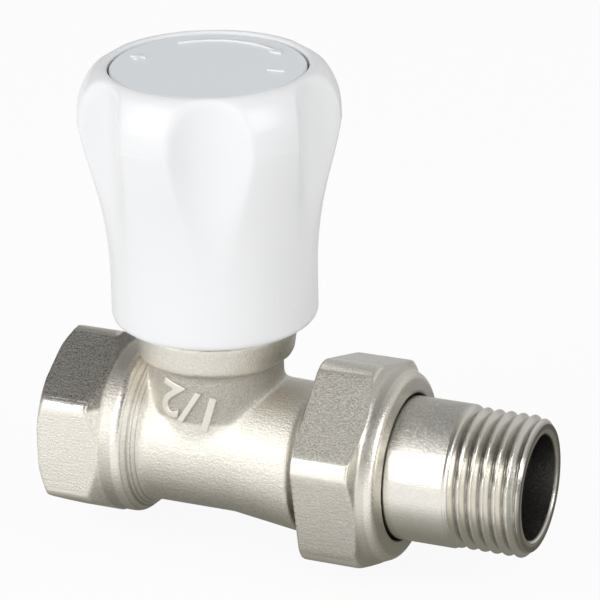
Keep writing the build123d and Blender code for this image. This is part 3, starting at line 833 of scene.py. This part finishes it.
def place_camera():
    forward = Vector((-math.sin(AZIMUTH) * math.cos(ELEVATION),
                      math.cos(AZIMUTH) * math.cos(ELEVATION), -math.sin(ELEVATION)))
    level = Vector((math.cos(AZIMUTH), math.sin(AZIMUTH), 0))
    upright = level.cross(forward)
    right = level * math.cos(ROLL) + upright * math.sin(ROLL)
    up = upright * math.cos(ROLL) - level * math.sin(ROLL)
    data = bpy.data.cameras.new("photo_camera")
    data.sensor_width = 36
    data.lens = LENS
    data.clip_start = 0.01
    camera = bpy.data.objects.new("photo_camera", data)
    bpy.context.scene.collection.objects.link(camera)
    camera.matrix_world = Matrix((
        (right.x, up.x, -forward.x, EYE.x),
        (right.y, up.y, -forward.y, EYE.y),
        (right.z, up.z, -forward.z, EYE.z),
        (0, 0, 0, 1),
    ))
    bpy.context.scene.camera = camera


def lay_floor():
    deselect()
    bpy.ops.mesh.primitive_plane_add(size=12, location=(0, 0, FLOOR_Z))
    floor = bpy.context.active_object
    floor.name = "floor"
    material, tree = finish("pale_floor")
    seen = tree.node("ShaderNodeLightPath", output="Is Camera Ray")
    mirrored = tree.node("ShaderNodeLightPath", output="Is Glossy Ray")
    through = tree.node("ShaderNodeLightPath", output="Is Transmission Ray")
    paper = tree.node("ShaderNodeBsdfDiffuse", None, {"Color": (0.93, 0.93, 0.93, 1)})
    x, y, _ = tree.split(tree.place())
    # In the metal the floor mirrors dark under the valve and behind it, and paler far off. This is a
    # painted dark reflection: glossy rays see the floor darkened here, camera rays see it white
    painted_dark_reflection = tree.rise(y, -42.0, -5.0) * (1.0 - 0.6 * tree.rise(y, 55.0, 90.0))
    painted_dark_reflection = painted_dark_reflection * (1.0 - 0.6 * tree.rise(x, 0.0, -25.0)) * (1.0 - 0.07 * between(tree, y, -16.0, 8.0, 8.0))
    aside = tree.rise(x * 0.8 + y * 0.6, 60.0, 140.0)
    shade = 1.0 - mirrored * (1.0 - (1.0 - 0.9 * painted_dark_reflection) * (1.0 - 0.4 * aside))
    # Warm dark end of the painted reflection
    tone = tree.blend(shade, (0.05, 0.043, 0.012), (1.0, 1.0, 1.0))
    glow = tree.node("ShaderNodeEmission", None, {"Color": tone, "Strength": 1.0})
    share = (seen + mirrored + through) * 0.92
    mixed = tree.node("ShaderNodeMixShader", None, {0: share, 1: paper, 2: glow})
    tree.node("ShaderNodeOutputMaterial", None, {"Surface": mixed})
    dress(floor, material)


def light_world():
    world = bpy.data.worlds.new("studio")
    bpy.context.scene.world = world
    world.use_nodes = True
    tree = Finish(world.node_tree)
    direction = tree.node("ShaderNodeTexCoord", output="Generated")
    toward = tree.node("ShaderNodeVectorMath", {"operation": "DOT_PRODUCT"}, {
        0: direction, 1: BRIGHT_SIDE}, output="Value")
    sky = tree.ramp(toward * 0.5 + 0.5, *SKY_STOPS)
    glow = tree.node("ShaderNodeBackground", None, {"Color": sky, "Strength": 1.0})
    tree.node("ShaderNodeOutputWorld", None, {"Surface": glow})


def add_softbox(name, spot, size, power):
    """A lamp with a lit panel of this size, turned to the valve."""
    data = bpy.data.lights.new(name, "AREA")
    data.shape = "RECTANGLE"
    data.size, data.size_y = size
    data.energy = power
    lamp = bpy.data.objects.new(name, data)
    bpy.context.scene.collection.objects.link(lamp)
    lamp.location = spot
    lamp.rotation_euler = (LAMP_AIM - Vector(spot)).to_track_quat("-Z", "Y").to_euler()
    return lamp


wheel = make_wheel()
tail = make_tail()
body = make_body()
inlet_thread = make_inlet_thread()
nut = make_nut()
size_mark = make_size_mark()
cap_signs = make_cap_signs()

body_metal = zoned_nickel("nickel_body", (0.80, 0.765, 0.69), 0.36, body_zones, BODY_BASE)
nut_metal = zoned_nickel("nickel_nut", (0.80, 0.765, 0.69), 0.24, nut_zones, NUT_BASE)
tail_metal = zoned_nickel("nickel_tail", (0.86, 0.83, 0.76), 0.18, tail_zones, TAIL_BASE, 0.004)
mark_metal = satin_metal("nickel_mark", (0.84, 0.81, 0.74), 0.30, 0.02, 0.006)
inner_brass = satin_metal("brass", (0.80, 0.62, 0.33), 0.25, 0.004, 0.004)
screw_steel = satin_metal("steel", (0.62, 0.62, 0.63), 0.28, 0.004, 0.004)
wheel_white = white_moulding("white_plastic", (0.90, 0.905, 0.915), 0.25)
cap_grey = white_moulding("cap_plastic", (0.84, 0.88, 0.91), 0.35)
seal_black = plain_rubber("seal_rubber", (0.03, 0.03, 0.032), 0.6)
packing_white = plain_rubber("packing", (0.75, 0.74, 0.70), 0.6)

node_finish = {
    "valve_body": body_metal, "union_nut": nut_metal, "handwheel_cap": cap_grey,
    "bonnet": inner_brass, "gland_nut": inner_brass, "stem": inner_brass,
    "packing_washer": inner_brass, "disc_holder": inner_brass, "washer_screw": screw_steel,
    "handwheel_screw": screw_steel, "stem_clip": screw_steel, "seat_washer": seal_black,
    "bonnet_seal": seal_black, "stem_o_ring_lower": seal_black, "stem_o_ring_upper": seal_black,
    "tail_o_ring": seal_black, "stem_packing": packing_white, "handwheel": wheel_white,
    "tailpiece": tail_metal,
}
for node, material in node_finish.items():
    dress(nodes[node], material)
dress(wheel, wheel_white)
dress(tail, tail_metal)
dress(body, body_metal)
dress(inlet_thread, body_metal)
dress(nut, nut_metal)
dress(size_mark, mark_metal)
dress(cap_signs, wheel_white)

place_camera()
lay_floor()
light_world()
add_softbox("front_left_box", (-0.43, -0.69, 0.42), (0.5, 0.8), 2.6)
add_softbox("right_box", (0.75, -0.25, 0.45), (0.5, 0.5), 2.2)
add_softbox("right_card", (0.60, -0.50, 0.11), (0.4, 0.2), 0.35)
top_box = add_softbox("top_box", (0.02, -0.12, 0.9), (0.6, 0.6), 1.15)
top_box.visible_glossy = False

bpy.context.scene.view_settings.view_transform = "Standard"
